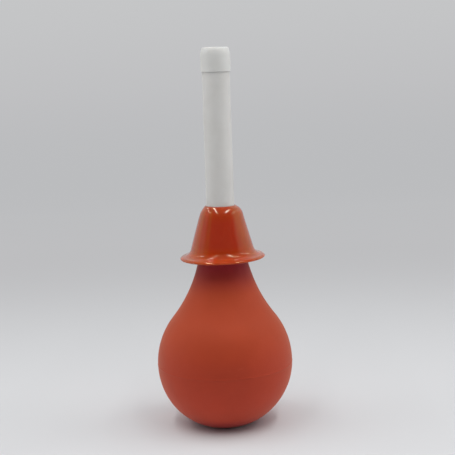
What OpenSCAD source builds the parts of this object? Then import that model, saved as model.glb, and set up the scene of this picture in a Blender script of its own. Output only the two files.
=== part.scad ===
// Squeeze-bulb douche: a soft pear-shaped bulb that stands on its foot, a nozzle whose
// barbs push into the bulb's neck, a bell-shaped guard that slides on the nozzle, and a
// spray cap on the nozzle's tip. Millimetres, Z is the axis, and the foot stands on Z = 0.

/* [Bulb] */
// Widest outside diameter
bulb_d = 88; // [80:1:100]
// Height from the foot to the rim of the neck
bulb_h = 131; // [124:1:142]
// Height of the widest ring, where the two mould halves part
equator_z = 40.4; // [36:0.1:45]
// Diameter of the flat foot
foot_d = 28.2; // [25:0.2:36]
// Radius that rounds the foot into the side
foot_corner_r = 12.8; // [8:0.1:14]
// Radius of the side above the widest ring
shoulder_r = 48.4; // [44:0.1:56]
// Wall thickness of the neck round its bore
neck_wall = 3.75; // [3:0.05:4.2]
// Length of the straight neck under its rim
neck_l = 3; // [1.8:0.1:6]
// Wall thickness of the body
bulb_wall = 2.2; // [1.4:0.1:3.2]
// Wall thickness over the foot
foot_wall = 3.6; // [2.8:0.1:5]
// Width of the flat ring that the bulb stands on
foot_ring_w = 4.1; // [2:0.1:7]
// Depth of the hollow inside that ring
dish_depth = 1.4; // [0.6:0.1:2]
// Height of the raised line where the mould halves part
seam_h = 0.15; // [0.05:0.05:0.4]
// Width of that line
seam_w = 0.8; // [0.5:0.1:1.6]
// Rounding of the rim's outer edge
rim_r = 1.2; // [0.4:0.1:1.4]
// Chamfer that leads the nozzle into the neck
lead_in = 0.6; // [0.2:0.1:0.8]
// Length of the neck's straight bore below the nozzle
spare_bore_l = 2; // [1:0.5:6]

/* [Nozzle] */
// Length of the barbed end inside the neck
barbed_l = 20; // [18:0.5:24]
// Diameter over the barbs
barb_d = 19.6; // [18.8:0.1:20.4]
// Height of one barb
barb_h = 1.1; // [0.5:0.05:1.4]
// Number of barbs
barb_count = 3; // [2:1:3]
// Distance from one barb to the next
barb_pitch = 5.5; // [4.2:0.1:6]
// Length of one barb's ramp
barb_ramp = 2.6; // [1.6:0.1:3]
// Length of one barb's straight land
barb_land = 0.9; // [0.5:0.1:1.2]
// Width of the flange that stops on the neck's rim, beyond the barbs
flange_w = 2.7; // [1.8:0.1:3.2]
// Thickness of the flange
flange_t = 2; // [1.4:0.1:3]
// Height of the collar between the flange and the guard's seat
collar_h = 7; // [5:0.5:9]
// Width of the guard's seat on the collar, beyond the shaft
seat_w = 1.75; // [1.2:0.05:2.2]
// Rounding of the flange and the collar
nozzle_edge_r = 0.5; // [0.2:0.05:0.65]
// Length of the shaft from the guard's seat to the spray cap
shaft_l = 87.9; // [60:0.1:120]
// Diameter of the shaft at the guard's seat
shaft_base_d = 18.1; // [17.8:0.1:18.4]
// Diameter of the shaft at the spray cap
shaft_tip_d = 17.6; // [17.2:0.1:17.8]
// Depth of the step from the shaft down to the spigot inside the cap
spigot_step = 0.6; // [0.4:0.05:0.8]
// Wall thickness of the barbed end and the spigot, which sets the tapered bore
nozzle_wall = 1.3; // [1:0.05:1.8]

/* [Spray cap] */
// Height of the cap
cap_h = 15.3; // [12:0.1:22]
// Wall thickness of the skirt
cap_wall = 1.2; // [0.9:0.05:1.6]
// Thickness of the perforated end
cap_end_t = 1.7; // [1.2:0.1:2.4]
// Radius that rounds the side towards the end
cap_crown_r = 10; // [8:0.1:14]
// Height over which the side rounds
cap_crown_h = 5; // [4:0.1:6]
// Rounding of the corner between the side and the end
cap_corner_r = 1.2; // [0.6:0.1:2]
// Rounding of the skirt's lower edge
cap_edge_r = 0.3; // [0.1:0.05:0.45]
// Diameter of one spray hole
spray_d = 1.6; // [1:0.1:2.2]
// Number of spray holes round the middle one
spray_count = 6; // [4:1:8]
// Radius of the ring of spray holes
spray_ring_r = 4.4; // [3.6:0.1:5.2]

/* [Guard] */
// Diameter over the brim
brim_d = 54.8; // [50:0.1:60]
// Height from the brim's edge to the lip round the shaft
guard_h = 34.1; // [31:0.1:38]
// Wall thickness
guard_wall = 1.2; // [0.8:0.05:1.5]
// Length of the grip on the shaft, from the seat on the collar to the lip
grip_l = 3.3; // [2.4:0.1:4.5]
// Radius that rounds the crown into the side
crown_r = 10; // [8.5:0.1:11]
// Distance from the shaft to the outside of the crown
crown_w = 5.3; // [5:0.1:6.2]
// Slope of the side from the vertical
side_angle = 16; // [14:0.1:18]
// Radius that flares the side into the brim
flare_r = 6.3; // [4:0.1:7.5]
// Downward slope of the brim
brim_angle = 8; // [2:0.5:20]
// Rounding of the lip round the shaft
lip_r = 0.4; // [0.2:0.05:0.6]

/* [Fits] */
// Radial clearance between the barbs and the neck stretched over them
neck_fit = 0.05; // [0.02:0.01:0.09]
// Radial clearance between the shaft and the guard
guard_fit = 0.05; // [0.02:0.01:0.09]
// Radial clearance between the shaft's spigot and the cap
cap_fit = 0.04; // [0.02:0.01:0.08]
// Free height between the shaft's tip and the cap's end
tip_gap = 0.4; // [0.2:0.1:0.8]

/* [Hidden] */
$fn = 96;
// Largest distance between an arc and the straight pieces that stand for it
arc_fit = 0.02;
// Length by which a cut runs past the face that it opens
overrun = 1;

// Heights along the axis, from the foot up
neck_z = bulb_h - neck_l;
nozzle_z = bulb_h - barbed_l;
neck_bore_z = nozzle_z - spare_bore_l;
collar_z = bulb_h + flange_t;
seat_z = collar_z + collar_h;
lip_z = seat_z + grip_l;
cap_z = seat_z + shaft_l;
cap_end_z = cap_z + cap_h;
cap_ceiling_z = cap_end_z - cap_end_t;
tip_z = cap_ceiling_z - tip_gap;

// Centre of each arc of the bulb: every arc meets its neighbours without a kink
bulb_r = bulb_d / 2;
foot_r = foot_d / 2;
foot_c = [foot_r, foot_corner_r];
belly_r = (pow(bulb_r - foot_r, 2) + pow(equator_z - foot_corner_r, 2) - pow(foot_corner_r, 2))
    / (2 * (bulb_r - foot_r - foot_corner_r));
belly_c = [bulb_r - belly_r, equator_z];
foot_angle = angle_of(foot_c - belly_c);
shoulder_c = [bulb_r - shoulder_r, equator_z];
barb_r = barb_d / 2;
neck_bore_r = barb_r + neck_fit;
neck_r = neck_bore_r + neck_wall;
neck_reach = neck_r - shoulder_c.x;
neck_rise = neck_z - equator_z;
throat_r = (pow(neck_reach, 2) + pow(neck_rise, 2) - pow(shoulder_r, 2))
    / (2 * (shoulder_r - neck_reach));
throat_c = [neck_r + throat_r, neck_z];
throat_angle = angle_of(throat_c - shoulder_c);
dish_r = foot_r - foot_ring_w;
dish_curve_r = (pow(dish_r, 2) + pow(dish_depth, 2)) / (2 * dish_depth);
seam_curve_r = (pow(seam_w / 2, 2) + pow(seam_h, 2)) / (2 * seam_h);
seam_c = [bulb_r + seam_h - seam_curve_r, equator_z];

// The cavity follows the wall, and leaves it on a tangent that runs up to the neck's bore
cavity_corner_r = foot_corner_r - bulb_wall;
cavity_belly_r = belly_r - bulb_wall;
cavity_corner_rise = equator_z - foot_wall - cavity_corner_r;
cavity_corner_c = [
    belly_c.x + sqrt(pow(cavity_belly_r - cavity_corner_r, 2) - pow(cavity_corner_rise, 2)),
    foot_wall + cavity_corner_r
];
cavity_corner_angle = angle_of(cavity_corner_c - belly_c);
cavity_throat_r = throat_r + bulb_wall;
bore_to_throat = throat_c - [neck_bore_r, neck_bore_z];
funnel_angle = angle_of(bore_to_throat) - asin(cavity_throat_r / norm(bore_to_throat));

// The shaft's spigot and the cap round towards the end about the same centre
barb_core_r = barb_r - barb_h;
shaft_base_r = shaft_base_d / 2;
shaft_tip_r = shaft_tip_d / 2;
spigot_r = shaft_tip_r - spigot_step;
cap_socket_r = spigot_r + cap_fit;
cap_r = cap_socket_r + cap_wall;
bore_base_r = barb_core_r - nozzle_wall;
bore_tip_r = spigot_r - nozzle_wall;
cap_crown_c = [cap_r - cap_crown_r, cap_end_z - cap_crown_h];
cap_corner_reach = sqrt(pow(cap_crown_r - cap_corner_r, 2) - pow(cap_crown_h - cap_corner_r, 2));
cap_corner_c = [cap_crown_c.x + cap_corner_reach, cap_end_z - cap_corner_r];

// The guard's side and brim are the straight runs that close its middle line
guard_r = shaft_base_r + guard_fit;
lip_c = [guard_r + lip_r, lip_z - lip_r];
lip_reach = lip_c.x - shaft_base_r - crown_w + crown_r;
crown_c = [lip_c.x - lip_reach, lip_c.y - sqrt(pow(crown_r - lip_r, 2) - pow(lip_reach, 2))];
half_wall = guard_wall / 2;
brim_edge_c = [brim_d / 2 - half_wall, lip_z - guard_h + half_wall];
up_brim = 90 - brim_angle;
guard_span = brim_edge_c - crown_c - (crown_r - half_wall) * direction(side_angle)
    - (flare_r + half_wall) * (direction(side_angle) - direction(up_brim));
side_run = -(guard_span * direction(up_brim)) / cos(side_angle + brim_angle);
flare_c = crown_c + (crown_r + flare_r) * direction(side_angle) + side_run * direction(side_angle - 90);

function direction(angle) = [cos(angle), sin(angle)];
function angle_of(v) = atan2(v.y, v.x);

// Points along an arc, from one angle to another
function arc(centre, radius, from, to) =
    let (step = 2 * acos(1 - arc_fit / radius), steps = max(2, ceil(abs(to - from) / step)))
    [for (i = [0:steps]) centre + radius * direction(from + (to - from) * i / steps)];

// Half a section of the bulb as if it were solid
module bulb_outside() {
    dish_half_angle = asin(dish_r / dish_curve_r);
    seam_half_angle = asin(seam_w / 2 / seam_curve_r);
    polygon(concat(
        arc([0, dish_depth - dish_curve_r], dish_curve_r, 90, 90 - dish_half_angle),
        arc(foot_c, foot_corner_r, -90, foot_angle),
        arc(belly_c, belly_r, foot_angle, -asin(seam_w / 2 / belly_r)),
        arc(seam_c, seam_curve_r, -seam_half_angle, seam_half_angle),
        arc(shoulder_c, shoulder_r, asin(seam_w / 2 / shoulder_r), throat_angle),
        arc(throat_c, throat_r, 180 + throat_angle, 180),
        arc([neck_r - rim_r, bulb_h - rim_r], rim_r, 0, 90),
        [[0, bulb_h]]
    ));
}

// Half a section of the space for the liquid, up to the rim of the neck
module bulb_inside() {
    polygon(concat(
        [[0, foot_wall]],
        arc(cavity_corner_c, cavity_corner_r, -90, cavity_corner_angle),
        arc(belly_c, cavity_belly_r, cavity_corner_angle, 0),
        arc(shoulder_c, shoulder_r - bulb_wall, 0, throat_angle),
        arc(throat_c, cavity_throat_r, 180 + throat_angle, 270 + funnel_angle),
        [
            [neck_bore_r, neck_bore_z],
            [neck_bore_r, bulb_h - lead_in],
            [neck_bore_r + lead_in + overrun, bulb_h + overrun],
            [0, bulb_h + overrun]
        ]
    ));
}

module squeeze_bulb() {
    color("#b5432e")
        rotate_extrude()
            difference() {
                bulb_outside();
                bulb_inside();
            }
}

// Outline of the barbs, each a ramp and a land that end in a sharp shoulder
function barbs() = [
    for (i = [0:barb_count - 1])
        let (z = nozzle_z + barb_h + i * barb_pitch)
        each [
            [barb_core_r, z],
            [barb_r, z + barb_ramp],
            [barb_r, z + barb_ramp + barb_land],
            [barb_core_r, z + barb_ramp + barb_land]
        ]
];

module nozzle_outside() {
    flange_r = barb_r + flange_w;
    collar_r = shaft_base_r + seat_w;
    spigot_crown_r = cap_crown_r - cap_wall - cap_fit;
    polygon(concat(
        [[0, nozzle_z], [barb_core_r - nozzle_edge_r, nozzle_z]],
        barbs(),
        [[barb_core_r, bulb_h]],
        arc([flange_r - nozzle_edge_r, bulb_h + nozzle_edge_r], nozzle_edge_r, -90, 0),
        arc([flange_r - nozzle_edge_r, collar_z - nozzle_edge_r], nozzle_edge_r, 0, 90),
        arc([collar_r + nozzle_edge_r, collar_z + nozzle_edge_r], nozzle_edge_r, 270, 180),
        arc([collar_r - nozzle_edge_r, seat_z - nozzle_edge_r], nozzle_edge_r, 0, 90),
        [[shaft_base_r, seat_z], [shaft_tip_r, cap_z], [spigot_r, cap_z]],
        arc(cap_crown_c, spigot_crown_r, 0, asin((tip_z - cap_crown_c.y) / spigot_crown_r)),
        [[0, tip_z]]
    ));
}

module nozzle_tube() {
    color("#efece6")
        difference() {
            rotate_extrude()
                nozzle_outside();
            translate([0, 0, nozzle_z - overrun])
                cylinder(r = bore_base_r, h = 2 * overrun);
            translate([0, 0, nozzle_z])
                cylinder(r1 = bore_base_r, r2 = bore_tip_r, h = tip_z - nozzle_z);
            translate([0, 0, tip_z - overrun])
                cylinder(r = bore_tip_r, h = 2 * overrun);
        }
}

module bell_guard() {
    seat_reach = crown_r - guard_wall;
    seat_angle = asin((seat_z - crown_c.y) / seat_reach);
    color("#c9532a")
        rotate_extrude()
            polygon(concat(
                [[guard_r, seat_z]],
                arc(lip_c, lip_r, 180, angle_of(lip_c - crown_c)),
                arc(crown_c, crown_r, angle_of(lip_c - crown_c), side_angle),
                arc(flare_c, flare_r, 180 + side_angle, 180 + up_brim),
                arc(brim_edge_c, half_wall, up_brim, up_brim - 180),
                arc(flare_c, flare_r + guard_wall, 180 + up_brim, 180 + side_angle),
                arc(crown_c, seat_reach, side_angle, seat_angle)
            ));
}

module cap_outside() {
    corner_angle = angle_of(cap_corner_c - cap_crown_c);
    polygon(concat(
        [[0, cap_z]],
        arc([cap_r - cap_edge_r, cap_z + cap_edge_r], cap_edge_r, -90, 0),
        arc(cap_crown_c, cap_crown_r, 0, corner_angle),
        arc(cap_corner_c, cap_corner_r, corner_angle, 90),
        [[0, cap_end_z]]
    ));
}

module cap_inside() {
    socket_crown_r = cap_crown_r - cap_wall;
    polygon(concat(
        [[0, cap_z - overrun], [cap_socket_r, cap_z - overrun]],
        arc(cap_crown_c, socket_crown_r, 0, asin((cap_ceiling_z - cap_crown_c.y) / socket_crown_r)),
        [[0, cap_ceiling_z]]
    ));
}

module spray_hole() {
    translate([0, 0, cap_ceiling_z - overrun])
        cylinder(d = spray_d, h = cap_end_t + 2 * overrun);
}

module spray_cap() {
    color("#f6f4f0")
        difference() {
            rotate_extrude()
                difference() {
                    cap_outside();
                    cap_inside();
                }
            spray_hole();
            for (i = [0:spray_count - 1])
                rotate([0, 0, i * 360 / spray_count])
                    translate([spray_ring_r, 0, 0])
                        spray_hole();
        }
}

squeeze_bulb();
nozzle_tube();
bell_guard();
spray_cap();
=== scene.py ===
"""Looks of a squeeze-bulb douche, laid out as an add-on and run as a script.

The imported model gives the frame. The soft bulb and the dipped guard are turned from their outlines
with Geometry Nodes, the nozzle and the spray cap are the model's own nodes with a finish of their
own, and the stage holds the floor, the backdrop, the lamps and the camera. Metres, Z up.
"""
import math

import bmesh
import bpy
from bpy.props import FloatProperty, FloatVectorProperty, PointerProperty
from mathutils import Euler, Matrix, Vector


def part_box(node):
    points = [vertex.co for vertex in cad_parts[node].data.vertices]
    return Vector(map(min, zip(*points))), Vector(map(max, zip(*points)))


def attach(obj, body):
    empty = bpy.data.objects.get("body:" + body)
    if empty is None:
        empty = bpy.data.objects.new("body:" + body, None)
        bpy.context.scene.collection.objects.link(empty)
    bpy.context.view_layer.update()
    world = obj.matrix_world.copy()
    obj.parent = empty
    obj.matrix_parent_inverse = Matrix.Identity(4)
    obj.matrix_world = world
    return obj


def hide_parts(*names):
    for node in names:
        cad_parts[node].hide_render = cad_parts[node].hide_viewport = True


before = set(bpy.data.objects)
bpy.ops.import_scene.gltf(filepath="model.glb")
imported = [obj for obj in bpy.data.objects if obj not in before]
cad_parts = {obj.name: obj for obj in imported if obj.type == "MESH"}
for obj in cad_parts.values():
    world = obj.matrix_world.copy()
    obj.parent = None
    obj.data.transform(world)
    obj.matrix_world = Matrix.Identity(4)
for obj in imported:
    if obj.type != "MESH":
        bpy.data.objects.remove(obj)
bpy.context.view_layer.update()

bl_info = {
    "name": "Squeeze bulb douche",
    "version": (1, 0, 0),
    "blender": (4, 5, 0),
    "location": "View3D > Sidebar > Squeeze bulb",
    "description": "Turns the bulb and the guard, finishes every piece and sets the stage",
    "category": "Object",
}

BULB_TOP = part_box("squeeze_bulb")[1].z
GUARD_LOW, GUARD_TOP = [corner.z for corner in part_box("bell_guard")]


def linear(code):
    """Linear colour of a web colour code, by the numbers of the sRGB curve"""
    parts = [int(code[i:i + 2], 16) / 255 for i in (0, 2, 4)]
    return tuple(p / 12.92 if p <= 0.04045 else ((p + 0.055) / 1.055) ** 2.4 for p in parts)


def length(name, about, default):
    """A size in metres that a user may change"""
    return FloatProperty(name=name, description=about, default=default, unit="LENGTH",
                         subtype="DISTANCE", precision=5)


def span(name, about, start, full):
    """Two heights or depths in metres: where something starts and where it is full"""
    return FloatVectorProperty(name=name, description=about, default=(start, full), size=2,
                               unit="LENGTH", precision=5)


def angle(name, about, default):
    """An angle that a user may change, given here in degrees"""
    return FloatProperty(name=name, description=about, default=math.radians(default),
                         unit="ROTATION", subtype="ANGLE")


def power(name, about, default):
    """A lamp's power in watts that a user may change"""
    return FloatProperty(name=name, description=about, default=default, unit="POWER")


def share(name, about, default):
    """A plain number that a user may change"""
    return FloatProperty(name=name, description=about, default=default)


def paint(name, about, code):
    """A colour that a user may change"""
    return FloatVectorProperty(name=name, description=about, default=linear(code), subtype="COLOR",
                               size=3, min=0, max=1)


class BulbLook(bpy.types.PropertyGroup):
    """Sizes of the bulb's outline, its hand-moulded unevenness and its colours"""
    width: length("Width", "Widest diameter without the parting line", 0.088)
    height: length("Height", "From the foot to the rim of the neck", BULB_TOP)
    equator: length("Parting height", "Height of the widest ring, where the mould halves part", 0.0404)
    foot_width: length("Foot width", "Diameter of the flat foot", 0.0282)
    foot_round: length("Foot rounding", "Radius from the foot into the side", 0.0128)
    shoulder_round: length("Shoulder radius", "Radius of the side above the widest ring", 0.0484)
    neck_width: length("Neck width", "Outside diameter of the neck", 0.0272)
    neck_length: length("Neck length", "Straight neck under its rim", 0.003)
    bore_width: length("Bore width", "Diameter of the neck's bore", 0.0197)
    bore_depth: length("Bore depth", "From the rim down to the lower end of the bore", 0.022)
    wall: length("Wall", "Thickness of the soft wall", 0.0022)
    foot_wall: length("Foot wall", "Thickness over the foot", 0.0036)
    ring_width: length("Foot ring", "Width of the flat ring that the bulb stands on", 0.0041)
    dish_depth: length("Foot hollow", "Depth of the hollow inside the ring", 0.0014)
    seam_height: length("Parting line height", "How far the parting line stands out", 0.00012)
    seam_width: length("Parting line width", "Width of the parting line", 0.0008)
    rim_round: length("Rim rounding", "Radius of the rim's outer edge", 0.0012)
    lead_in: length("Lead-in", "Chamfer at the mouth of the bore", 0.0006)
    foot_shift: length("Foot shift", "How far the soft foot sits off the axis", -0.0008)
    belly_shift: length("Belly shift", "How far the widest ring sits off the axis", -0.00025)
    shoulder_shift: length("Shoulder shift", "How far the soft shoulder leans off the axis", 0.00045)
    shoulder_height: length("Shoulder height", "Where the shoulder leans furthest", 0.1)
    rim_held: length("Rim held", "Depth under the rim over which the neck stays on the axis", 0.004)
    waves: length("Unevenness", "Depth of the slow dents in the wall", 0.00012)
    rubber: paint("Rubber", "Colour of the rubber round the widest ring", "b23c22")
    # Painted light: the shoulder is painted more orange, as if the warm top light fell on it
    rubber_shoulder_top_lit: paint("Top-lit shoulder rubber", "Colour of the shoulder, painted more orange by top light", "b2411e")
    # Painted light: the side below the widest ring is painted lighter, as if the floor's bounce light fell
    # on it
    rubber_low_bounce_lit: paint("Bounce-lit low rubber", "Colour of the side below the widest ring", "c14128")
    # Painted shade: the neck is painted darker and more purple under the guard's brim, where the guard
    # shades it
    rubber_neck_shaded: paint("Shaded neck rubber", "Colour of the neck, painted darker in the guard's shade", "99212a")
    # Painted shade: the rubber is painted darker and more crimson close to the foot, where it meets the
    # floor
    rubber_foot_shaded: paint("Shaded foot rubber", "Colour close to the foot", "b02636")
    # Heights of the shoulder's painted top light
    top_lit_span: span("Painted top light", "Heights where the painted top light starts and is full", 0.038, 0.07)
    # Heights of the low side's painted bounce light
    low_bounce_span: span("Painted bounce light", "Heights where the painted bounce light starts and is full", 0.044, 0.018)
    # Heights of the painted shade on the neck under the guard
    neck_shade_span: span("Cover", "Heights where the painted shade under the guard starts and is full", 0.086, 0.108)
    # Heights of the painted shade at the foot
    foot_shade_span: span("Painted foot shade", "Heights where the painted foot shade starts and is full", 0.011, 0.002)
    bloom: paint("Bloom", "Pale film on worn places", "c6563a")


class GuardLook(bpy.types.PropertyGroup):
    """Sizes of the guard's outline, its unevenness and its colours"""
    brim_width: length("Brim width", "Diameter over the brim", 0.0548)
    height: length("Height", "From the brim's edge to the lip", GUARD_TOP - GUARD_LOW)
    wall: length("Wall", "Thickness of the vinyl", 0.0012)
    bore_width: length("Bore width", "Diameter of the hole round the nozzle", 0.0182)
    grip: length("Grip", "Length of the grip on the nozzle", 0.0033)
    crown_round: length("Crown radius", "Radius of the crown", 0.01)
    crown_reach: length("Crown reach", "From the bore to the outside of the crown", 0.00525)
    slope: angle("Side slope", "Slope of the side from the vertical", 16)
    flare_round: length("Flare radius", "Radius of the side into the brim", 0.0063)
    droop: angle("Brim droop", "Downward slope of the brim at its root", 4)
    brim_curl: length("Brim curl", "How far the brim's edge curls down from that slope", 0.0006)
    lip_round: length("Lip rounding", "Rounding of the lip round the nozzle", 0.0004)
    side_shift: length("Side shift", "How far the soft side leans off the axis", 0.0004)
    crown_shift: length("Crown shift", "How far the crown leans off the axis", 0.0006)
    brim_tilt: angle("Brim tilt", "How far the soft brim tips to one side", 0.7)
    waves: length("Unevenness", "Depth of the slow waves in the wall", 0.0001)
    vinyl: paint("Vinyl", "Colour of the side, where the dip is thick", "a9341e")
    vinyl_thin: paint("Thin vinyl", "Colour of the brim, where the dip is thin", "b03a10")
    vinyl_crown: paint("Crown vinyl", "Colour of the crown", "aa3a18")
    # Colour of the runs: partly the dip's own runs, partly painted reflection of the side walls
    vinyl_run_reflection: paint("Vinyl runs with painted reflection", "Colour of the faint runs down the side", "a85c2a")
    thick_span: span("Thick dip", "Heights over the brim's edge where it starts and is full", 0.004, 0.011)
    crown_span: span("Crown colour", "Depths under the lip where it starts and is full", 0.011, 0.003)


class NozzleLook(bpy.types.PropertyGroup):
    """Colours and roughness of the white plastic pieces"""
    shaft: paint("Nozzle", "Colour of the nozzle", "d3d2cf")
    shaft_dark: paint("Nozzle shade", "Colour in the faint flow marks", "cac9c5")
    shaft_rough: share("Nozzle roughness", "Mean roughness of the nozzle", 0.42)
    cap: paint("Cap", "Colour of the spray cap", "d4d4d1")
    cap_dark: paint("Cap shade", "Colour in the faint flow marks of the cap", "ccccc8")
    cap_rough: share("Cap roughness", "Mean roughness of the spray cap", 0.34)


class StageLook(bpy.types.PropertyGroup):
    """Camera, lamps, light tent and paper"""
    lens: share("Focal length", "Focal length in millimetres on a 36 mm sensor", 80.7)
    camera_x: length("Camera X", "Place of the camera across the view", 0.0042)
    camera_distance: length("Camera distance", "From the camera to the bulb's axis", 0.649)
    camera_height: length("Camera height", "Height of the camera over the floor", 0.2276)
    camera_dip: angle("Camera dip", "How far the camera looks down", 8.67)
    camera_roll: angle("Camera roll", "How far the camera is turned clockwise", 1.9)
    strip_height: length("Lamp height", "Height of the two strip lamps over the object", 0.6)
    strip_gap: length("Lamp gap", "From the axis to the left strip lamp", 0.19)
    strip_length: length("Lamp length", "Length of a strip lamp, front to back", 0.6)
    strip_width: length("Lamp width", "Width of a strip lamp", 0.006)
    strip_power: power("Lamp power", "Power of the left strip lamp", 1.0)
    right_share: share("Right lamp share", "Power of the right strip lamp as a share of the left one", 1.2)
    outer_share: share("Outer lamp share", "Power of an outer strip lamp as a share of the left one", 0.5)
    front_light: share("Front light", "Strength of the open front of the light tent", 0.1)
    side_light: share("Side light", "Strength of the tent's side walls", 1.2)
    low_light: share("Low side light", "Strength of the side walls close to the floor", 1.8)
    back_light: share("Back light", "Strength of the tent's back", 0.5)
    right_lean: share("Right lean", "Share by which the right wall is brighter than the middle", 0.1)
    far_light: share("Far light", "Strength of what the camera sees past the floor's front", 0.76)
    top_light: share("Top light", "Strength of the tent's roof", 0.9)
    gloss_light: share("Gloss share", "Share of the tent's light that reflections show", 0.17)
    side_gloss: share("Side gloss", "Strength that reflections of the side walls have besides that", 0.32)
    tent_turn: angle("Tent turn", "How far the tent's open front is turned, in reflections", 8)
    paper: paint("Paper", "Colour of the floor under and round the bulb", "d2d3d5")


# Steps along an outline, in degrees on an arc and in metres on a straight run
ARC_STEP = 1.5
GUARD_STEP = 2
INSIDE_STEP = 3
RIM_STEP = 10
EDGE_STEP = 15
SEAM_STEP = 20
RUN_STEP = 0.0015
BRIM_STEP = 0.0005
CAVITY_FLOOR_STEP = 0.004
# Fewest pieces of an arc, however short it is
FEWEST_ARC_PIECES = 3


def heading(angle_deg):
    """Unit step in the section's plane, at an angle in degrees"""
    return Vector((math.cos(math.radians(angle_deg)), math.sin(math.radians(angle_deg))))


def angle_of(step):
    """Angle of a step in the section's plane, in degrees"""
    return math.degrees(math.atan2(step.y, step.x))


def angle_across(side, longest):
    """Angle in degrees across from one side of a right-angled triangle, whose longest side is given"""
    return math.degrees(math.asin(side / longest))


def arc(centre, radius, start, end, step=ARC_STEP):
    """Points on an arc from one angle to another, both ends included"""
    count = max(FEWEST_ARC_PIECES, math.ceil(abs(end - start) / step))
    return [centre + radius * heading(start + (end - start) * i / count) for i in range(count + 1)]


def straight(start, end, step=RUN_STEP):
    """Points between two points, without the ends"""
    count = max(1, math.ceil((end - start).length / step))
    return [start.lerp(end, i / count) for i in range(1, count)]


def bulb_outline(look):
    """Half a section of the bulb, from under its foot round the outside and down into the cavity"""
    side, foot = look.width / 2, look.foot_width / 2
    neck, bore = look.neck_width / 2, look.bore_width / 2
    round_r, wall, shoulder_r = look.foot_round, look.wall, look.shoulder_round
    rise = look.equator - round_r
    belly_r = ((side - foot) ** 2 + rise ** 2 - round_r ** 2) / (2 * (side - foot - round_r))
    belly = Vector((side - belly_r, look.equator))
    foot_c = Vector((foot, round_r))
    foot_turn = angle_of(foot_c - belly)
    shoulder = Vector((side - shoulder_r, look.equator))
    neck_z = look.height - look.neck_length
    reach, lift = neck - shoulder.x, neck_z - look.equator
    throat_r = (reach ** 2 + lift ** 2 - shoulder_r ** 2) / (2 * (shoulder_r - reach))
    throat = Vector((neck + throat_r, neck_z))
    throat_turn = angle_of(throat - shoulder)

    dish_w = foot - look.ring_width
    dish_r = (dish_w ** 2 + look.dish_depth ** 2) / (2 * look.dish_depth)
    dish_half = angle_across(dish_w, dish_r)
    seam_half_w = look.seam_width / 2
    seam_r = (seam_half_w ** 2 + look.seam_height ** 2) / (2 * look.seam_height)
    seam_c = Vector((side + look.seam_height - seam_r, look.equator))
    seam_half = angle_across(seam_half_w, seam_r)
    below_seam = angle_across(seam_half_w, belly_r)
    above_seam = angle_across(seam_half_w, shoulder_r)
    rim_c = Vector((neck - look.rim_round, look.height - look.rim_round))

    outside = arc(Vector((0, look.dish_depth - dish_r)), dish_r, 90, 90 - dish_half)
    outside += straight(outside[-1], Vector((foot, 0)))
    outside += arc(foot_c, round_r, -90, foot_turn)
    outside += arc(belly, belly_r, foot_turn, -below_seam)[1:]
    outside += arc(seam_c, seam_r, -seam_half, seam_half, SEAM_STEP)[1:-1]
    outside += arc(shoulder, shoulder_r, above_seam, throat_turn)
    outside += arc(throat, throat_r, 180 + throat_turn, 180)[1:]
    outside += arc(rim_c, look.rim_round, 0, 90, RIM_STEP)

    corner_r = round_r - wall
    inner_belly_r = belly_r - wall
    corner_rise = look.equator - look.foot_wall - corner_r
    corner_x = belly.x + math.sqrt((inner_belly_r - corner_r) ** 2 - corner_rise ** 2)
    corner = Vector((corner_x, look.foot_wall + corner_r))
    corner_turn = angle_of(corner - belly)
    inner_throat_r = throat_r + wall
    bore_end = Vector((bore, look.height - look.bore_depth))
    to_throat = throat - bore_end
    funnel_turn = angle_of(to_throat) - angle_across(inner_throat_r, to_throat.length)
    cavity_floor = Vector((0, look.foot_wall))

    funnel = arc(throat, inner_throat_r, 270 + funnel_turn, 180 + throat_turn)
    mouth = [Vector((bore + look.lead_in, look.height)), Vector((bore, look.height - look.lead_in))]
    inside = mouth + straight(mouth[1], bore_end) + [bore_end] + straight(bore_end, funnel[0])
    inside += funnel
    inside += arc(shoulder, shoulder_r - wall, throat_turn, 0)[1:]
    inside += arc(belly, inner_belly_r, 0, corner_turn)[1:]
    inside += arc(corner, corner_r, corner_turn, -90)[1:]
    inside += straight(inside[-1], cavity_floor, CAVITY_FLOOR_STEP) + [cavity_floor]
    return outside + inside


def curled(points, root_x, edge_x, drop):
    """Points of the brim, which sinks more and more towards its edge"""
    return [p - Vector((0, drop * ((p.x - root_x) / (edge_x - root_x)) ** 2)) for p in points]


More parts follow.
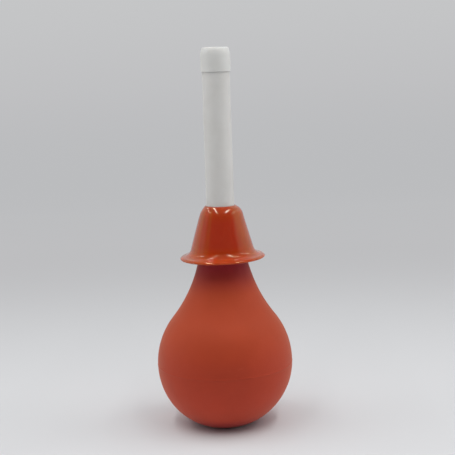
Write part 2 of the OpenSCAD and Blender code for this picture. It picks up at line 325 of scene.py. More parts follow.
def guard_outline(look):
    """Closed half section of the guard, from its seat on the collar round the outside and back"""
    bore, crown_r, flare_r = look.bore_width / 2, look.crown_round, look.flare_round
    slope, up_brim = math.degrees(look.slope), 90 - math.degrees(look.droop)
    top, half_wall = GUARD_TOP, look.wall / 2
    seat_z = top - look.grip
    lip = Vector((bore + look.lip_round, top - look.lip_round))
    lip_reach = lip.x - bore - look.crown_reach + crown_r
    lip_rise = math.sqrt((crown_r - look.lip_round) ** 2 - lip_reach ** 2)
    crown = Vector((lip.x - lip_reach, lip.y - lip_rise))
    edge = Vector((look.brim_width / 2 - half_wall, top - look.height + half_wall))
    aim = edge + Vector((0, look.brim_curl))
    gap = aim - crown - (crown_r - half_wall) * heading(slope)
    gap -= (flare_r + half_wall) * (heading(slope) - heading(up_brim))
    side_run = -gap.dot(heading(up_brim)) / math.cos(look.slope + look.droop)
    flare = crown + (crown_r + flare_r) * heading(slope) + side_run * heading(slope - 90)
    root_x = (flare + (flare_r + half_wall) * heading(180 + up_brim)).x
    brim_x = (root_x, aim.x, look.brim_curl)
    edge_up = up_brim - math.degrees(math.atan(2 * look.brim_curl / (aim.x - root_x)))
    lip_turn = angle_of(lip - crown)
    inner_crown_r = crown_r - look.wall
    seat_turn = angle_across(seat_z - crown.y, inner_crown_r)

    points = [Vector((bore, seat_z))] + arc(lip, look.lip_round, 180, lip_turn, EDGE_STEP)
    points += arc(crown, crown_r, lip_turn, slope, GUARD_STEP)[1:]
    foot_of_side = flare + flare_r * heading(180 + slope)
    points += straight(points[-1], foot_of_side)
    points += arc(flare, flare_r, 180 + slope, 180 + up_brim, GUARD_STEP)
    points += curled(straight(points[-1], aim + half_wall * heading(up_brim), BRIM_STEP), *brim_x)
    points += arc(edge, half_wall, edge_up, edge_up - 180, EDGE_STEP)
    under_flare = flare + (flare_r + look.wall) * heading(180 + up_brim)
    points += curled(straight(aim - half_wall * heading(up_brim), under_flare, BRIM_STEP), *brim_x)
    points += arc(flare, flare_r + look.wall, 180 + up_brim, 180 + slope, GUARD_STEP)
    points += straight(points[-1], crown + inner_crown_r * heading(slope))
    points += arc(crown, inner_crown_r, slope, seat_turn, INSIDE_STEP)
    points += straight(points[-1], points[0])
    return points + [points[0]]


# Noise runs from 0 to 1 about this middle
NOISE_MIDDLE = 0.5


def fill(tree, socket, value):
    """Links a socket to another one, or gives it a plain value"""
    if isinstance(value, bpy.types.NodeSocket):
        tree.links.new(value, socket)
    else:
        socket.default_value = value


def put(tree, kind, inputs=None, **settings):
    """Adds a node to a tree, sets its settings, and fills its inputs"""
    node = tree.nodes.new(kind)
    for name, value in settings.items():
        setattr(node, name, value)
    for name, value in (inputs or {}).items():
        fill(tree, node.inputs[name], value)
    return node


def maths(tree, operation, *values, kind="ShaderNodeMath"):
    """First output of one Math node, or of one Vector Math node"""
    return put(tree, kind, dict(enumerate(values)), operation=operation).outputs[0]


def product(tree, first, *others):
    """All the values multiplied, from left to right"""
    for value in others:
        first = maths(tree, "MULTIPLY", first, value)
    return first


def total(tree, first, *others):
    """All the values added up, from left to right"""
    for value in others:
        first = maths(tree, "ADD", first, value)
    return first


def between(tree, part, low, high):
    """Value that goes from low to high while the part goes from 0 to 1"""
    return maths(tree, "MULTIPLY_ADD", part, maths(tree, "SUBTRACT", high, low), low)


def ramp_between(tree, value, low, high, to_low=0.0, to_high=1.0):
    """Smooth step from one value to another"""
    return put(tree, "ShaderNodeMapRange",
               {"Value": value, "From Min": low, "From Max": high, "To Min": to_low, "To Max": to_high},
               interpolation_type="SMOOTHSTEP").outputs["Result"]


def split(tree, vector):
    """X, Y and Z of a vector"""
    return put(tree, "ShaderNodeSeparateXYZ", {0: vector}).outputs


def joined(tree, x, y, z=0.0):
    """Vector of an X, a Y and a Z"""
    return put(tree, "ShaderNodeCombineXYZ", {0: x, 1: y, 2: z}).outputs[0]


def away(tree, x, y):
    """Level unit vector that points away from the axis"""
    return maths(tree, "NORMALIZE", joined(tree, x, y), kind="ShaderNodeVectorMath")


def noise(tree, vector, scale, detail, **more):
    """Smooth noise from 0 to 1. A fourth coordinate W picks another pattern"""
    inputs = {"Vector": vector, "Scale": scale, "Detail": detail, **more}
    return put(tree, "ShaderNodeTexNoise", inputs,
               noise_dimensions="4D" if "W" in more else "3D").outputs[0]


def open_group(name, kind, inputs, outputs):
    """New node group with its named sockets. Each input is (name, socket type, default)"""
    tree = bpy.data.node_groups.new(name, kind)
    for label, socket_type, default in inputs:
        socket = tree.interface.new_socket(label, in_out="INPUT", socket_type=socket_type)
        if default is not None:
            socket.default_value = default
    for label, socket_type in outputs:
        tree.interface.new_socket(label, in_out="OUTPUT", socket_type=socket_type)
    return tree, tree.nodes.new("NodeGroupInput").outputs, tree.nodes.new("NodeGroupOutput").inputs


def built_once(name):
    """Lets a builder's group be built at its first use and found by its name after that"""
    def wrap(build):
        def find():
            return bpy.data.node_groups.get(name) or build(name)
        return find
    return wrap


# Points closer than this are one, at the poles and where the turn closes
MERGE_DISTANCE = 0.000002
# Edges that bend more than this stay sharp
CREASE_ANGLE = math.radians(40)
# Both radii under zero: no part of a piece is held on the axis, unless it says so
HELD_NOWHERE = -0.01
FREE_EVERYWHERE = -0.005


@built_once("Turned soft shell")
def turned_shell_tree(name):
    """Geometry Nodes that turn an outline once round the axis and make it as uneven as a soft moulding"""
    zero_at_first = ("Low height", "Low shift", "Waist height", "Waist shift", "High height",
                     "High shift", "Top height", "Tilt", "Unevenness", "Wave seed")
    tree, given, made = open_group(name, "GeometryNodeTree", [
        ("Outline", "NodeSocketGeometry", None),
        ("Steps round", "NodeSocketInt", 192),
        ("Crease angle", "NodeSocketFloat", CREASE_ANGLE),
        *((label, "NodeSocketFloat", 0.0) for label in zero_at_first),
        ("Held radius", "NodeSocketFloat", HELD_NOWHERE),
        ("Free radius", "NodeSocketFloat", FREE_EVERYWHERE),
        ("Wave scale", "NodeSocketFloat", 20.0),
        ("Finish", "NodeSocketMaterial", None),
    ], [("Shell", "NodeSocketGeometry")])

    # A grid with a row for each point of the outline, whose middle lies on zero
    rows = put(tree, "GeometryNodeAttributeDomainSize",
               {"Geometry": given["Outline"]}).outputs["Point Count"]
    run = maths(tree, "SUBTRACT", rows, 1.0)
    columns = maths(tree, "ADD", given["Steps round"], 1.0)
    grid = put(tree, "GeometryNodeMeshGrid",
               {"Size X": 1.0, "Size Y": run, "Vertices X": columns, "Vertices Y": rows})
    place = tree.nodes.new("GeometryNodeInputPosition").outputs[0]
    on_grid = split(tree, place)
    row = maths(tree, "ROUND", maths(tree, "MULTIPLY_ADD", run, 0.5, on_grid["Y"]))
    turn = product(tree, maths(tree, "ADD", on_grid["X"], 0.5), math.tau)
    point = put(tree, "GeometryNodeSampleIndex",
                {"Geometry": given["Outline"], "Value": place, "Index": row},
                data_type="FLOAT_VECTOR", domain="POINT").outputs[0]
    section = split(tree, point)
    x = product(tree, section["X"], maths(tree, "COSINE", turn))
    y = product(tree, section["X"], maths(tree, "SINE", turn))
    z = section["Z"]

    # Low, waist and high parts lean by their own shifts. What is at the top or held doesn't lean
    low = ramp_between(tree, z, given["Waist height"], given["Low height"])
    high = ramp_between(tree, z, given["Waist height"], given["High height"])
    under_top = ramp_between(tree, z, given["Top height"], given["High height"])
    loose = ramp_between(tree, section["X"], given["Held radius"], given["Free radius"])
    to_low = product(tree, low, maths(tree, "SUBTRACT", given["Low shift"], given["Waist shift"]))
    to_high = product(tree, high, maths(tree, "SUBTRACT", given["High shift"], given["Waist shift"]))
    shift = product(tree, total(tree, to_low, to_high, given["Waist shift"]), under_top, loose)
    tip = product(tree, x, low, maths(tree, "TANGENT", given["Tilt"]))

    # Slow dents along the way out from the axis
    cloud = noise(tree, joined(tree, x, y, z), given["Wave scale"], 0.0, W=given["Wave seed"])
    dent = product(tree, maths(tree, "SUBTRACT", cloud, NOISE_MIDDLE), 2.0,
                   product(tree, given["Unevenness"], under_top))
    dented = put(tree, "ShaderNodeVectorMath", {0: away(tree, x, y), "Scale": dent},
                 operation="SCALE").outputs[0]
    moved = joined(tree, total(tree, x, shift), y, total(tree, z, tip))
    final = maths(tree, "ADD", moved, dented, kind="ShaderNodeVectorMath")

    turned = put(tree, "GeometryNodeSetPosition", {"Geometry": grid.outputs["Mesh"], "Position": final})
    closed = put(tree, "GeometryNodeMergeByDistance",
                 {"Geometry": turned.outputs[0], "Distance": MERGE_DISTANCE})
    smooth = put(tree, "GeometryNodeSetShadeSmooth", {"Geometry": closed.outputs[0]}, domain="FACE")
    bend = tree.nodes.new("GeometryNodeInputMeshEdgeAngle").outputs["Unsigned Angle"]
    crease = put(tree, "FunctionNodeCompare", {"A": bend, "B": given["Crease angle"]},
                 data_type="FLOAT", operation="GREATER_THAN").outputs[0]
    creased = put(tree, "GeometryNodeSetShadeSmooth",
                  {"Geometry": smooth.outputs[0], "Selection": crease, "Shade Smooth": False},
                  domain="EDGE")
    real = put(tree, "GeometryNodeRealizeInstances", {"Geometry": creased.outputs[0]})
    finish = put(tree, "GeometryNodeSetMaterial",
                 {"Geometry": real.outputs[0], "Material": given["Finish"]})
    tree.links.new(finish.outputs[0], made["Shell"])
    return tree


def new_object(name, data):
    """New object in the scene"""
    thing = bpy.data.objects.new(name, data)
    bpy.context.scene.collection.objects.link(thing)
    return thing


def outline_object(name, points):
    """Chain of edges through the points of a section, in the XZ plane"""
    mesh = bpy.data.meshes.new(name)
    mesh.from_pydata([(p.x, 0, p.y) for p in points], [(i, i + 1) for i in range(len(points) - 1)], [])
    return new_object(name, mesh)


def turned_piece(name, points, finish, values):
    """Turns an outline with the node tree and keeps the result as a plain mesh with outward faces"""
    thing = outline_object(name, points)
    tree = turned_shell_tree()
    turner = thing.modifiers.new(tree.name, "NODES")
    turner.node_group = tree
    named = {item.name: item.identifier for item in tree.interface.items_tree if item.in_out == "INPUT"}
    for label, value in {**values, "Finish": finish}.items():
        turner[named[label]] = value
    bpy.context.view_layer.update()
    graph = bpy.context.evaluated_depsgraph_get()
    mesh = bpy.data.meshes.new_from_object(thing.evaluated_get(graph), preserve_all_data_layers=True,
                                           depsgraph=graph)
    thing.modifiers.clear()
    thing.data = mesh
    mesh.name = name
    work = bmesh.new()
    work.from_mesh(mesh)
    bmesh.ops.dissolve_degenerate(work, dist=MERGE_DISTANCE, edges=work.edges)
    bmesh.ops.recalc_face_normals(work, faces=work.faces)
    work.to_mesh(mesh)
    work.free()
    if not mesh.polygons or finish not in list(mesh.materials):
        raise RuntimeError(f"{name} came out of its tree without faces or finish")
    mesh.materials.clear()
    mesh.materials.append(finish)
    mesh.polygons.foreach_set("material_index", [0] * len(mesh.polygons))
    return thing


BLACK = (0, 0, 0, 1)
WHITE = (1, 1, 1, 1)
# How far the deeper patches of a colour go towards black
DEEPER_SHARE = 0.1
# Values of the noise where a mask starts and where it is full
MOTTLE_MASK = (0.35, 0.7)
SCUFF_MASK = (0.6, 0.72)
SCUFF_PLACE_MASK = (0.52, 0.68)
RUN_MASK = (0.42, 0.7)
# Turn and stretch of the noise behind the rub marks, and the scale of the places that have them
SCUFF_TURN = (0.4, 0.3, 0.6)
SCUFF_STRETCH = (1.0, 1.0, 5.0)
SCUFF_PLACE_SCALE = 38.0
# How much the runs of a dipped coat change with height
RUN_DRIFT = 4.0


def four(colour):
    """Colour with its alpha"""
    return (*colour, 1.0)


def colour_mix(tree, factor, low, high):
    """Mix of two colours"""
    node = put(tree, "ShaderNodeMix", data_type="RGBA")
    sides = [socket for socket in node.inputs if socket.type == "RGBA"]
    for socket, value in zip([node.inputs[0]] + sides, (factor, low, high)):
        fill(tree, socket, value)
    return next(socket for socket in node.outputs if socket.type == "RGBA")


@built_once("Moulded grain")
def grain_group(name):
    """Fine grain of a moulded surface: a height for Bump and a roughness that changes a little"""
    group, given, made = open_group(name, "ShaderNodeTree", [
        ("Vector", "NodeSocketVector", None),
        ("Grain scale", "NodeSocketFloat", 900.0),
        ("Ripple scale", "NodeSocketFloat", 60.0),
        ("Ripple share", "NodeSocketFloat", 0.5),
        ("Roughness", "NodeSocketFloat", 0.5),
        ("Roughness change", "NodeSocketFloat", 0.1),
    ], [("Height", "NodeSocketFloat"), ("Roughness", "NodeSocketFloat")])
    grain = noise(group, given["Vector"], given["Grain scale"], detail=3.0, Roughness=0.6)
    ripple = noise(group, given["Vector"], given["Ripple scale"], detail=2.0)
    height = maths(group, "MULTIPLY_ADD", ripple, given["Ripple share"], grain)
    change = maths(group, "MULTIPLY_ADD", maths(group, "SUBTRACT", ripple, NOISE_MIDDLE),
                   given["Roughness change"], given["Roughness"])
    group.links.new(height, made["Height"])
    group.links.new(change, made["Roughness"])
    return group


@built_once("Mottled colour")
def mottle_group(name):
    """Slow, soft mottling between two colours"""
    group, given, made = open_group(name, "ShaderNodeTree", [
        ("Vector", "NodeSocketVector", None),
        ("Scale", "NodeSocketFloat", 40.0),
        ("Amount", "NodeSocketFloat", 0.5),
        ("Colour", "NodeSocketColor", four((0.5, 0.5, 0.5))),
        ("Patch colour", "NodeSocketColor", four((0.4, 0.4, 0.4))),
    ], [("Colour", "NodeSocketColor")])
    cloud = noise(group, given["Vector"], given["Scale"], detail=5.0, Roughness=0.55, Distortion=0.4)
    mask = product(group, ramp_between(group, cloud, *MOTTLE_MASK), given["Amount"])
    group.links.new(colour_mix(group, mask, given["Colour"], given["Patch colour"]), made["Colour"])
    return group


@built_once("Scuffs")
def scuff_group(name):
    """Mask of the thin rub marks and small smudges of a handled surface"""
    group, given, made = open_group(name, "ShaderNodeTree", [
        ("Vector", "NodeSocketVector", None),
        ("Scale", "NodeSocketFloat", 90.0),
        ("Amount", "NodeSocketFloat", 0.5),
    ], [("Mask", "NodeSocketFloat")])
    drawn_out = put(group, "ShaderNodeMapping", {"Vector": given["Vector"], "Rotation": SCUFF_TURN,
                                                 "Scale": SCUFF_STRETCH}).outputs[0]
    thin = noise(group, drawn_out, given["Scale"], detail=4.0, Roughness=0.65)
    where = noise(group, given["Vector"], SCUFF_PLACE_SCALE, detail=1.0)
    mask = product(group, ramp_between(group, thin, *SCUFF_MASK),
                   ramp_between(group, where, *SCUFF_PLACE_MASK), given["Amount"])
    group.links.new(mask, made["Mask"])
    return group


@built_once("Dip runs")
def run_group(name):
    """Mask of faint runs down a round side, like those a dipped coat leaves; on the guard its seed places
    them where reflections fall, as painted reflection
    """
    group, given, made = open_group(name, "ShaderNodeTree", [
        ("Vector", "NodeSocketVector", None),
        ("Runs", "NodeSocketFloat", 5.0),
        ("Seed", "NodeSocketFloat", 0.0),
        ("Amount", "NodeSocketFloat", 0.5),
    ], [("Mask", "NodeSocketFloat")])
    at = split(group, given["Vector"])
    turn = split(group, away(group, at["X"], at["Y"]))
    sample = joined(group, turn["X"], turn["Y"], product(group, at["Z"], RUN_DRIFT))
    streaks = noise(group, sample, given["Runs"], detail=0.5, Roughness=0.6, W=given["Seed"])
    mask = product(group, ramp_between(group, streaks, *RUN_MASK), given["Amount"])
    group.links.new(mask, made["Mask"])
    return group


def use(tree, group, **inputs):
    """Adds a shader group and fills its inputs. Underscores in a name stand for spaces"""
    node = put(tree, "ShaderNodeGroup", node_tree=group)
    for name, value in inputs.items():
        fill(tree, node.inputs[name.replace("_", " ")], value)
    return node.outputs


def new_material(name, **plain):
    """Material with a Principled shader. The plain values go on the shader's own sockets"""
    material = bpy.data.materials.new(name)
    material.use_nodes = True
    tree = material.node_tree
    shader = next(node for node in tree.nodes if node.type == "BSDF_PRINCIPLED")
    for label, value in plain.items():
        shader.inputs[label.replace("_", " ")].default_value = value
    place = tree.nodes.new("ShaderNodeTexCoord").outputs["Object"]
    return material, tree, shader, place


def banded(tree, place, first, bands):
    """Colour that changes with height. Each band has its start and full heights, and a colour"""
    height = split(tree, place)["Z"]
    colour = four(first)
    for heights, band_colour in bands:
        colour = colour_mix(tree, ramp_between(tree, height, *heights), colour, four(band_colour))
    return colour


def bump(tree, shader, height, strength, distance):
    """Raises a surface's height through the shader's normal"""
    raised = put(tree, "ShaderNodeBump", {"Height": height, "Strength": strength, "Distance": distance})
    tree.links.new(raised.outputs[0], shader.inputs["Normal"])


def mottled(tree, place, colour, **values):
    """Colour with patches that are a little deeper"""
    deeper = colour_mix(tree, DEEPER_SHARE, colour, BLACK)
    return use(tree, mottle_group(), Vector=place, Colour=colour, Patch_colour=deeper, **values)["Colour"]


def grained(tree, shader, place, strength, distance, **values):
    """Gives a shader the roughness and the relief of its fine grain"""
    grain = use(tree, grain_group(), Vector=place, **values)
    tree.links.new(grain["Roughness"], shader.inputs["Roughness"])
    bump(tree, shader, grain["Height"], strength, distance)


def rubber_material(look):
    """Matte moulded rubber with a pale bloom on rubbed places, and painted light and shade by height: a
    more orange top-lit shoulder, a lighter bounce-lit low side, a darker neck in the guard's shade and a
    darker foot
    """
    material, tree, shader, place = new_material(
        "Bulb rubber", IOR=1.4, Specular_IOR_Level=0.35, Sheen_Weight=0.24, Sheen_Roughness=0.4,
        Sheen_Tint=four(linear("ffd0ac")))
    # Painted light and shade by height: the top-lit shoulder, the bounce-lit low side, the shaded neck
    # under the guard and the shaded foot
    body = banded(tree, place, look.rubber, (
        (look.top_lit_span, look.rubber_shoulder_top_lit),
        (look.low_bounce_span, look.rubber_low_bounce_lit),
        (look.neck_shade_span, look.rubber_neck_shaded),
        (look.foot_shade_span, look.rubber_foot_shaded)))
    body = mottled(tree, place, body, Scale=34.0, Amount=0.7)
    scuffs = use(tree, scuff_group(), Vector=place, Scale=110.0, Amount=0.25)["Mask"]
    tree.links.new(colour_mix(tree, scuffs, body, four(look.bloom)), shader.inputs["Base Color"])
    grained(tree, shader, place, strength=0.35, distance=0.0002, Grain_scale=1400.0,
            Ripple_scale=160.0, Ripple_share=0.6, Roughness=0.62, Roughness_change=0.12)
    return material


def vinyl_material(look):
    """Glossy dip-moulded vinyl, a little translucent, and more orange where the dip is thin, with faint
    dip runs placed where the side walls' reflections fall, as painted reflection
    """
    material, tree, shader, place = new_material(
        "Guard vinyl", IOR=1.45, Specular_IOR_Level=0.5, Specular_Tint=four(linear("c4dc98")),
        Subsurface_Weight=0.3, Subsurface_Radius=(1.0, 0.3, 0.12), Subsurface_Scale=0.002,
        Coat_Weight=0.4, Coat_Roughness=0.02, Coat_IOR=1.6,
        Sheen_Weight=0.08, Sheen_Roughness=0.4, Sheen_Tint=four(linear("ffd08a")))
    body = banded(tree, place, look.vinyl_thin, (
        ([GUARD_LOW + height for height in look.thick_span], look.vinyl),
        ([GUARD_TOP - depth for depth in look.crown_span], look.vinyl_crown)))
    # Dip runs whose seed puts them on the two sides, where the side walls' reflections fall: partly dip
    # runs, partly painted reflection
    runs = use(tree, run_group(), Vector=place, Runs=3.2, Seed=23.5, Amount=0.42)["Mask"]
    body = colour_mix(tree, runs, body, four(look.vinyl_run_reflection))
    body = mottled(tree, place, body, Scale=70.0, Amount=0.5)
    tree.links.new(body, shader.inputs["Base Color"])
    grained(tree, shader, place, strength=0.06, distance=0.0002, Grain_scale=700.0,
            Ripple_scale=90.0, Ripple_share=2.0, Roughness=0.08, Roughness_change=0.04)
    return material


def plastic_material(name, colour, shade, roughness):
    """Semi-matte moulded polyethylene with faint flow marks"""
    material, tree, shader, place = new_material(
        name, IOR=1.5, Subsurface_Weight=0.2, Subsurface_Radius=(1.0, 0.9, 0.8), Subsurface_Scale=0.001)
    marks = use(tree, mottle_group(), Vector=place, Scale=55.0, Amount=0.6, Colour=four(colour),
                Patch_colour=four(shade))["Colour"]
    tree.links.new(marks, shader.inputs["Base Color"])
    grained(tree, shader, place, strength=0.12, distance=0.00015, Grain_scale=1600.0,
            Ripple_scale=120.0, Ripple_share=0.8, Roughness=roughness, Roughness_change=0.1)
    return material


def dress(node, material):
    """Gives a CAD node its material"""
    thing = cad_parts[node]
    thing.data.materials.clear()
    thing.data.materials.append(material)


class OBJECT_OT_soft_bulb(bpy.types.Operator):
    """Turn the soft bulb from its outline and finish it"""
    bl_idname = "object.soft_bulb"
    bl_label = "Soft bulb"

    def execute(self, context):
        look = context.scene.bulb_look
        piece = turned_piece("soft_bulb", bulb_outline(look), rubber_material(look), {
            "Steps round": 224,
            "Low height": 0.0,
            "Low shift": look.foot_shift,
            "Waist height": look.equator,
            "Waist shift": look.belly_shift,
            "High height": look.shoulder_height,
            "High shift": look.shoulder_shift,
            "Top height": look.height - look.rim_held,
            "Unevenness": look.waves,
            "Wave scale": 26.0,
            "Wave seed": 3.0,
        })
        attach(piece, "bulb")
        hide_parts("squeeze_bulb")
        return {"FINISHED"}


class OBJECT_OT_dipped_guard(bpy.types.Operator):
    """Turn the dipped guard from its outline and finish it"""
    bl_idname = "object.dipped_guard"
    bl_label = "Dipped guard"

    def execute(self, context):
        look = context.scene.guard_look
        piece = turned_piece("dipped_guard", guard_outline(look), vinyl_material(look), {
            "Steps round": 256,
            "Low height": GUARD_LOW,
            "Low shift": look.side_shift,
            "Waist height": GUARD_TOP - look.crown_round,
            "Waist shift": look.side_shift,
            "High height": GUARD_TOP - look.grip,
            "High shift": look.crown_shift,
            "Top height": GUARD_TOP + look.grip,
            "Held radius": look.bore_width / 2 + look.lip_round,
            "Free radius": look.bore_width / 2 + look.crown_reach / 2,
            "Tilt": look.brim_tilt,
            "Unevenness": look.waves,
            "Wave scale": 45.0,
            "Wave seed": 8.0,
        })
        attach(piece, "guard")
        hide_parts("bell_guard")
        return {"FINISHED"}


class OBJECT_OT_nozzle_finish(bpy.types.Operator):
    """Finish the nozzle"""
    bl_idname = "object.nozzle_finish"
    bl_label = "Nozzle"

    def execute(self, context):
        look = context.scene.nozzle_look
        dress("nozzle_tube",
              plastic_material("Nozzle plastic", look.shaft, look.shaft_dark, look.shaft_rough))
        return {"FINISHED"}


class OBJECT_OT_cap_finish(bpy.types.Operator):
    """Finish the spray cap"""
    bl_idname = "object.cap_finish"
    bl_label = "Spray cap"

    def execute(self, context):
        look = context.scene.nozzle_look
        dress("spray_cap",
              plastic_material("Cap plastic", look.cap, look.cap_dark, look.cap_rough))
        return {"FINISHED"}


# Shade of the paper at distances behind the axis, along the floor and up the sweep, in metres
PAPER_SHADES = ((-0.5, "e2e2e4"), (-0.15, "dcdcde"), (0.1, "d5d5d7"), (0.36, "bfbfc1"), (0.65, "bcbcbe"),
                (1.17, "babbbd"), (1.45, "bbbcbe"), (1.65, "bfbfc1"), (1.95, "c6c7c8"))
PAPER_START = -0.5
PAPER_SPAN = 2.5
# Share of the paper's glow close round the foot, with the distances where it starts and is full
NEAR_GLOW = 0.16
NEAR_GLOW_REACH = (0.02, 0.04)
# Distances where the paper's light starts to be glow alone and where it is that in full
FAR_GLOW_REACH = (0.2, 0.75)
# The floor's rows from its front, the quarter circle that sweeps up, the wall's top and half the width
FLOOR_ROWS = (-4.0, -1.0, 0.0)
SWEEP_Y = 1.05
SWEEP_RADIUS = 0.5
SWEEP_STEPS = 24
STAGE_TOP = 3.2
STAGE_HALF_WIDTH = 4.0
# Where the light tent changes, by parts of the unit direction: Z is up, Y or ahead is to the back
LOW_WALL_Z = (0.5, 0.1)
FRONT_TO_SIDE_AHEAD = (-0.5, -0.18)
SIDE_TO_BACK_AHEAD = (0.3, 0.7)
WALL_TO_ROOF_Z = (0.55, 0.95)
GLOSSY_WALL_AHEAD = (-0.42, -0.28)
GLOSSY_WALL_Z = (0.75, 0.6)
FAR_TO_BACK_Y = (-0.05, 0.15)
# Places of the strip lamps in metres: two over the object and two dim ones further out
LEFT_STRIP_Y = -0.16
RIGHT_STRIP_Y = -0.2
RIGHT_STRIP_OUT = 0.01
RIGHT_STRIP_TURN = math.radians(-8)
OUTER_LEFT_STRIP = (-0.57, 0.2, 0.65)
OUTER_RIGHT_STRIP = (0.62, 0.1, 0.58)
# The camera's sensor in millimetres and how far it sees in metres
SENSOR_WIDTH = 36
VIEW_DEPTH = 50


def paper_shade(tree, behind):
    """Shade of the paper by its distance behind the axis"""
    along = maths(tree, "DIVIDE", maths(tree, "SUBTRACT", behind, PAPER_START), PAPER_SPAN)
    shades = put(tree, "ShaderNodeValToRGB", {"Fac": along})
    ramp = shades.color_ramp
    ramp.interpolation = "B_SPLINE"
    while len(ramp.elements) < len(PAPER_SHADES):
        ramp.elements.new(1.0)
    for stop, (distance, code) in zip(ramp.elements, PAPER_SHADES):
        stop.position = (distance - PAPER_START) / PAPER_SPAN
        stop.color = four(linear(code))
    return shades.outputs["Color"]


def backdrop_material(look):
    """Matte paper round the bulb. Further off it turns into an even glow, whose shade changes slowly"""
    material, tree, shader, place = new_material("Studio paper", Roughness=0.9, Specular_IOR_Level=0.1,
                                                 Emission_Strength=1.0)
    at = split(tree, place)
    flat = joined(tree, at["X"], at["Y"])
    reach = put(tree, "ShaderNodeVectorMath", {0: flat}, operation="LENGTH").outputs["Value"]
    near = ramp_between(tree, reach, *NEAR_GLOW_REACH, 0.0, NEAR_GLOW)
    far = ramp_between(tree, reach, *FAR_GLOW_REACH, 0.0, 1.0 - NEAR_GLOW)
    glow = total(tree, near, far)
    shade = paper_shade(tree, total(tree, at["Y"], at["Z"]))
    tree.links.new(colour_mix(tree, glow, four(look.paper), BLACK), shader.inputs["Base Color"])
    tree.links.new(colour_mix(tree, glow, BLACK, shade), shader.inputs["Emission Color"])
    grain = use(tree, grain_group(), Vector=place, Grain_scale=600.0, Ripple_scale=8.0)
    bump(tree, shader, grain["Height"], strength=0.05, distance=0.0002)
    return material


def backdrop(look):
    """Floor that sweeps up into a wall, as one smooth sheet"""
    profile = [(y, 0.0) for y in FLOOR_ROWS]
    for i in range(SWEEP_STEPS + 1):
        turn = math.pi / 2 * i / SWEEP_STEPS
        profile.append((SWEEP_Y + SWEEP_RADIUS * math.sin(turn), SWEEP_RADIUS * (1 - math.cos(turn))))
    profile.append((SWEEP_Y + SWEEP_RADIUS, STAGE_TOP))
    points = [(side * STAGE_HALF_WIDTH, y, z) for y, z in profile for side in (-1, 1)]
    faces = [(2 * i, 2 * i + 1, 2 * i + 3, 2 * i + 2) for i in range(len(profile) - 1)]
    mesh = bpy.data.meshes.new("backdrop")
    mesh.from_pydata(points, [], faces)
    mesh.shade_smooth()
    mesh.materials.append(backdrop_material(look))
    thing = new_object("backdrop", mesh)


def tent(look):
    """Light tent as the world: dim open front, bright sides, bright roof, and plain grey for the eye"""
    world = bpy.data.worlds.new("Light tent")
    bpy.context.scene.world = world
    world.use_nodes = True
    tree = world.node_tree
    background = next(node for node in tree.nodes if node.type == "BACKGROUND")
    way = split(tree, tree.nodes.new("ShaderNodeTexCoord").outputs["Generated"])
    level = split(tree, away(tree, way["X"], way["Y"]))
    rays = tree.nodes.new("ShaderNodeLightPath").outputs
    camera_ray, glossy_ray = rays["Is Camera Ray"], rays["Is Glossy Ray"]

    # The walls from front to back, brighter close to the floor, and the roof over them
    low_wall = between(tree, glossy_ray, look.low_light, look.side_light)
    side = ramp_between(tree, way["Z"], *LOW_WALL_Z, look.side_light, low_wall)
    walls = between(tree, ramp_between(tree, level["Y"], *FRONT_TO_SIDE_AHEAD), look.front_light, side)
    walls = between(tree, ramp_between(tree, level["Y"], *SIDE_TO_BACK_AHEAD), walls, look.back_light)
    walls = product(tree, walls, maths(tree, "MULTIPLY_ADD", way["X"], look.right_lean, 1.0))
    strength = between(tree, ramp_between(tree, way["Z"], *WALL_TO_ROOF_Z), walls, look.top_light)

    # Reflections show a share of that, and side walls with a clear edge
    turned = maths(tree, "MULTIPLY_ADD", level["X"], math.sin(look.tent_turn), level["Y"])
    clear_wall = product(tree, ramp_between(tree, turned, *GLOSSY_WALL_AHEAD),
                         ramp_between(tree, way["Z"], *GLOSSY_WALL_Z), look.side_gloss, glossy_ray)
    gloss = between(tree, glossy_ray, 1.0, look.gloss_light)
    lit = maths(tree, "MULTIPLY_ADD", strength, gloss, clear_wall)

    # The camera sees plain surroundings past the edges of the floor
    seen = ramp_between(tree, way["Y"], *FAR_TO_BACK_Y, look.far_light, look.back_light)
    tree.links.new(between(tree, camera_ray, lit, seen), background.inputs["Strength"])
    background.inputs["Color"].default_value = WHITE


def strip_lamp(name, look, place, power_share=1.0, turn=0.0):
    """Long thin lamp over the object, which shines down"""
    lamp = bpy.data.lights.new(name, "AREA")
    lamp.shape = "RECTANGLE"
    lamp.size = look.strip_width
    lamp.size_y = look.strip_length
    lamp.energy = look.strip_power * power_share
    thing = new_object(name, lamp)
    thing.location = place
    thing.rotation_euler = (0, 0, turn)
    thing.visible_camera = False


def camera(look):
    """Camera at the photograph's angle"""
    lens = bpy.data.cameras.new("Camera")
    lens.lens = look.lens
    lens.sensor_width = SENSOR_WIDTH
    lens.clip_end = VIEW_DEPTH
    thing = new_object("Camera", lens)
    dip = Euler((math.pi / 2 - look.camera_dip, 0, 0)).to_matrix()
    roll = Euler((0, 0, -look.camera_roll)).to_matrix()
    place = Matrix.Translation((look.camera_x, -look.camera_distance, look.camera_height))
    thing.matrix_world = place @ (dip @ roll).to_4x4()
    bpy.context.scene.camera = thing


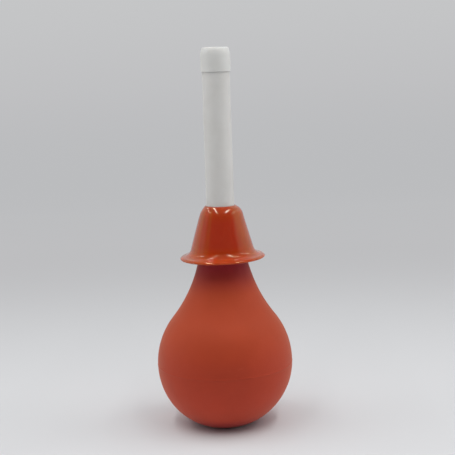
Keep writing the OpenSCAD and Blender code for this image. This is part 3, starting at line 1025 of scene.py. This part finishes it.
class OBJECT_OT_studio_stage(bpy.types.Operator):
    """Set the backdrop, the lamps and the camera"""
    bl_idname = "object.studio_stage"
    bl_label = "Stage"

    def execute(self, context):
        look = context.scene.stage_look
        backdrop(look)
        tent(look)
        strip_lamp("strip_left", look, (-look.strip_gap, LEFT_STRIP_Y, look.strip_height))
        right_place = (look.strip_gap + RIGHT_STRIP_OUT, RIGHT_STRIP_Y, look.strip_height)
        strip_lamp("strip_right", look, right_place, look.right_share, RIGHT_STRIP_TURN)
        strip_lamp("strip_outer_left", look, OUTER_LEFT_STRIP, look.outer_share)
        strip_lamp("strip_outer_right", look, OUTER_RIGHT_STRIP, look.outer_share)
        camera(look)
        context.scene.view_settings.view_transform = "Standard"
        return {"FINISHED"}


class VIEW3D_PT_squeeze_bulb(bpy.types.Panel):
    """Sizes and colours of the squeeze bulb, and a button for each piece"""
    bl_idname = "VIEW3D_PT_squeeze_bulb"
    bl_label = "Squeeze bulb"
    bl_space_type = "VIEW_3D"
    bl_region_type = "UI"
    bl_category = "Squeeze bulb"

    def draw(self, context):
        for settings, buttons in PANEL_ROWS:
            box = self.layout.box()
            look = getattr(context.scene, settings)
            for name in look.bl_rna.properties.keys():
                if name not in ("rna_type", "name"):
                    box.prop(look, name)
            for button in buttons:
                box.operator(button.bl_idname)


PANEL_ROWS = (
    ("bulb_look", (OBJECT_OT_soft_bulb,)),
    ("guard_look", (OBJECT_OT_dipped_guard,)),
    ("nozzle_look", (OBJECT_OT_nozzle_finish, OBJECT_OT_cap_finish)),
    ("stage_look", (OBJECT_OT_studio_stage,)),
)
SETTINGS = {
    "bulb_look": BulbLook,
    "guard_look": GuardLook,
    "nozzle_look": NozzleLook,
    "stage_look": StageLook,
}
OPERATORS = (OBJECT_OT_soft_bulb, OBJECT_OT_dipped_guard, OBJECT_OT_nozzle_finish, OBJECT_OT_cap_finish,
             OBJECT_OT_studio_stage)
CLASSES = (*SETTINGS.values(), *OPERATORS, VIEW3D_PT_squeeze_bulb)


def register():
    """Registers the classes and gives every scene its settings"""
    for kind in CLASSES:
        bpy.utils.register_class(kind)
    for name, kind in SETTINGS.items():
        setattr(bpy.types.Scene, name, PointerProperty(type=kind))


def unregister():
    """Takes the settings and the classes away again"""
    for name in SETTINGS:
        delattr(bpy.types.Scene, name)
    for kind in reversed(CLASSES):
        bpy.utils.unregister_class(kind)


def main():
    """Builds the looks piece by piece"""
    register()
    bpy.ops.object.soft_bulb()
    bpy.ops.object.dipped_guard()
    bpy.ops.object.nozzle_finish()
    bpy.ops.object.cap_finish()
    bpy.ops.object.studio_stage()


if __name__ == "__main__":
    main()
